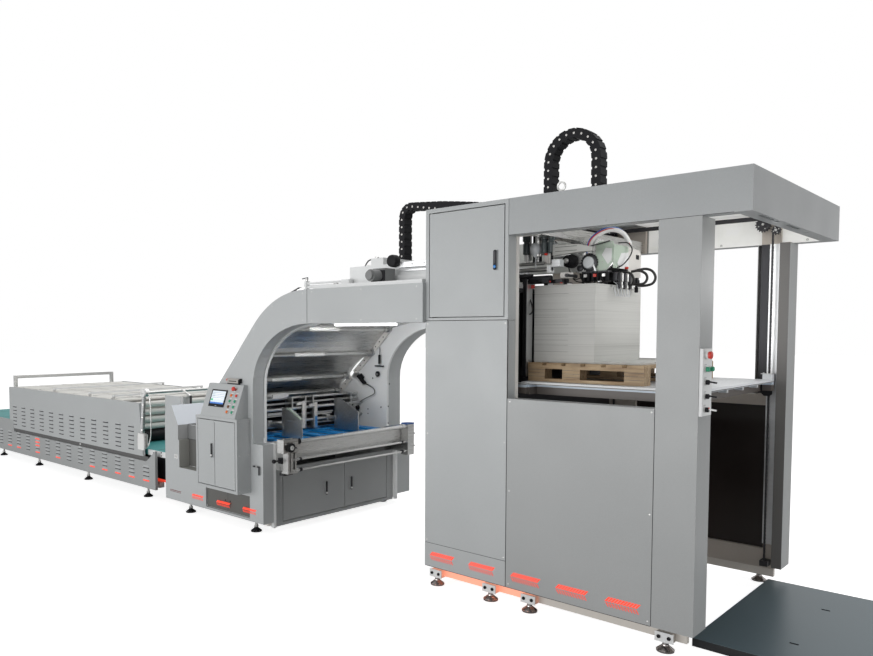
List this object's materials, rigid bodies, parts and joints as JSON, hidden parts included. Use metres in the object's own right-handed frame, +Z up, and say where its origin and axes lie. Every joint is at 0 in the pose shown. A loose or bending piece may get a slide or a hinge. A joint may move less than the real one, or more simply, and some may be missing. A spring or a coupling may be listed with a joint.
{
  "type": "flute laminating machine",
  "caption": "Sheet laminating line: a feeder tower with a pile lift and canopy, a bridge and arch over a belt feed table with a console, and a belt delivery with a press section.",
  "frame": {"origin": "centre of the footprint on the floor", "axes": "+X along the line towards the loading end, +Y to the far side away from the console, +Z up"},
  "size_m": [12.95, 2.187, 3.3589],
  "materials": {
    "silver_grey_paint": "satin",
    "recess_grey_paint": "satin",
    "white_paint": "satin",
    "base_paint": "satin",
    "stainless": "brushed",
    "dark_steel": "oiled",
    "black_plastic": "matte",
    "blue_belt": "matte",
    "teal_belt": "matte",
    "cream_belt": "matte",
    "pallet_wood": "rough",
    "sheet_pile": "matte paper and board",
    "platform_plate": "satin",
    "lift_paint": "satin",
    "dark_inner_panel": "satin"
  },
  "bodies": {
    "machine": {"arch_cover_far": "silver_grey_paint", "arch_cover_near": "silver_grey_paint", "arch_tie": "white_paint", "bridge_beam_near": "silver_grey_paint", "bridge_deck": "white_paint", "cable_carrier_bridge": "black_plastic", "cable_carrier_feeder": "black_plastic", "canopy_fascia": "silver_grey_paint", "console_cabinet": "silver_grey_paint", "delivery_base": "base_paint", "delivery_belt": "teal_belt", "delivery_panel_far": "silver_grey_paint", "delivery_panel_near": "silver_grey_paint", "drive_motor": "recess_grey_paint", "entry_rollers": "stainless", "feed_belts": "blue_belt", "feed_table": "stainless", "feeder_base": "base_paint", "feeder_cover_far": "silver_grey_paint", "feeder_cover_near": "silver_grey_paint", "feeder_frame_far": "white_paint", "feeder_frame_near": "white_paint", "feeder_head": "stainless", "feeder_panel_near": "silver_grey_paint", "feeder_upper_cabinet": "silver_grey_paint", "front_frame": "silver_grey_paint", "front_gate": "stainless", "front_lay": "dark_steel", "front_roller_rail": "stainless", "glue_housing": "recess_grey_paint", "handrail": "stainless", "inclined_conveyor": "stainless", "inner_panel_far": "dark_inner_panel", "inner_panel_near": "dark_inner_panel", "laminator_base": "base_paint", "lift_drive": "dark_steel", "loading_platform": "platform_plate", "post_controls": "silver_grey_paint", "post_far": "silver_grey_paint", "post_near": "silver_grey_paint", "press_belt": "cream_belt", "press_frame": "dark_steel", "press_panel_far": "silver_grey_paint", "press_panel_near": "silver_grey_paint", "register_unit": "stainless", "side_plate_far": "white_paint", "side_plate_near": "white_paint", "tension_bar": "stainless", "tower_roof": "silver_grey_paint"},
    "upper_door_body": {"feeder_upper_door": "silver_grey_paint"},
    "front_door_near_body": {"front_door_near": "silver_grey_paint"},
    "front_door_far_body": {"front_door_far": "silver_grey_paint"},
    "console_door_left_body": {"console_door_left": "silver_grey_paint"},
    "console_door_right_body": {"console_door_right": "silver_grey_paint"},
    "lift_body": {"lift_platform": "lift_paint", "pallet": "pallet_wood", "sheet_pile": "sheet_pile"},
    "side_guide_near_body": {"side_guide_near": "stainless"},
    "side_guide_far_body": {"side_guide_far": "stainless"},
    "handwheel_body": {"handwheel": "black_plastic"}
  },
  "joints": [
    {"name": "feeder_upper_door_hinge", "type": "hinge", "parent": "machine", "child": "upper_door_body", "pos_m": [3.275, -0.8855, 2], "axis": [0, 0, -1], "range_deg": [0, 110]},
    {"name": "console_door_left_hinge", "type": "hinge", "parent": "machine", "child": "console_door_left_body", "pos_m": [0.607, -1.0755, 0.7], "axis": [0, 0, -1], "range_deg": [0, 110]},
    {"name": "console_door_right_hinge", "type": "hinge", "parent": "machine", "child": "console_door_right_body", "pos_m": [1.156, -1.0755, 0.7], "axis": [0, 0, 1], "range_deg": [0, 110]},
    {"name": "front_door_near_hinge", "type": "hinge", "parent": "machine", "child": "front_door_near_body", "pos_m": [1.334, -0.6465, 0.3], "axis": [0, 0, -1], "range_deg": [0, 95]},
    {"name": "front_door_far_hinge", "type": "hinge", "parent": "machine", "child": "front_door_far_body", "pos_m": [1.334, 0.7495, 0.3], "axis": [0, 0, 1], "range_deg": [0, 95]},
    {"name": "lift_slide", "type": "slide", "parent": "machine", "child": "lift_body", "axis": [0, 0, 1], "range_m": [-1.2, 0]},
    {"name": "side_guide_near_slide", "type": "slide", "parent": "machine", "child": "side_guide_near_body", "axis": [0, 1, 0], "range_m": [-0.04, 0.15]},
    {"name": "side_guide_far_slide", "type": "slide", "parent": "machine", "child": "side_guide_far_body", "axis": [0, 1, 0], "range_m": [-0.12, 0.15]},
    {"name": "handwheel_turn", "type": "hinge", "parent": "machine", "child": "handwheel_body", "pos_m": [1.595, -0.7925, 0.828], "axis": [1, 0, 0], "continuous": true}
  ]
}
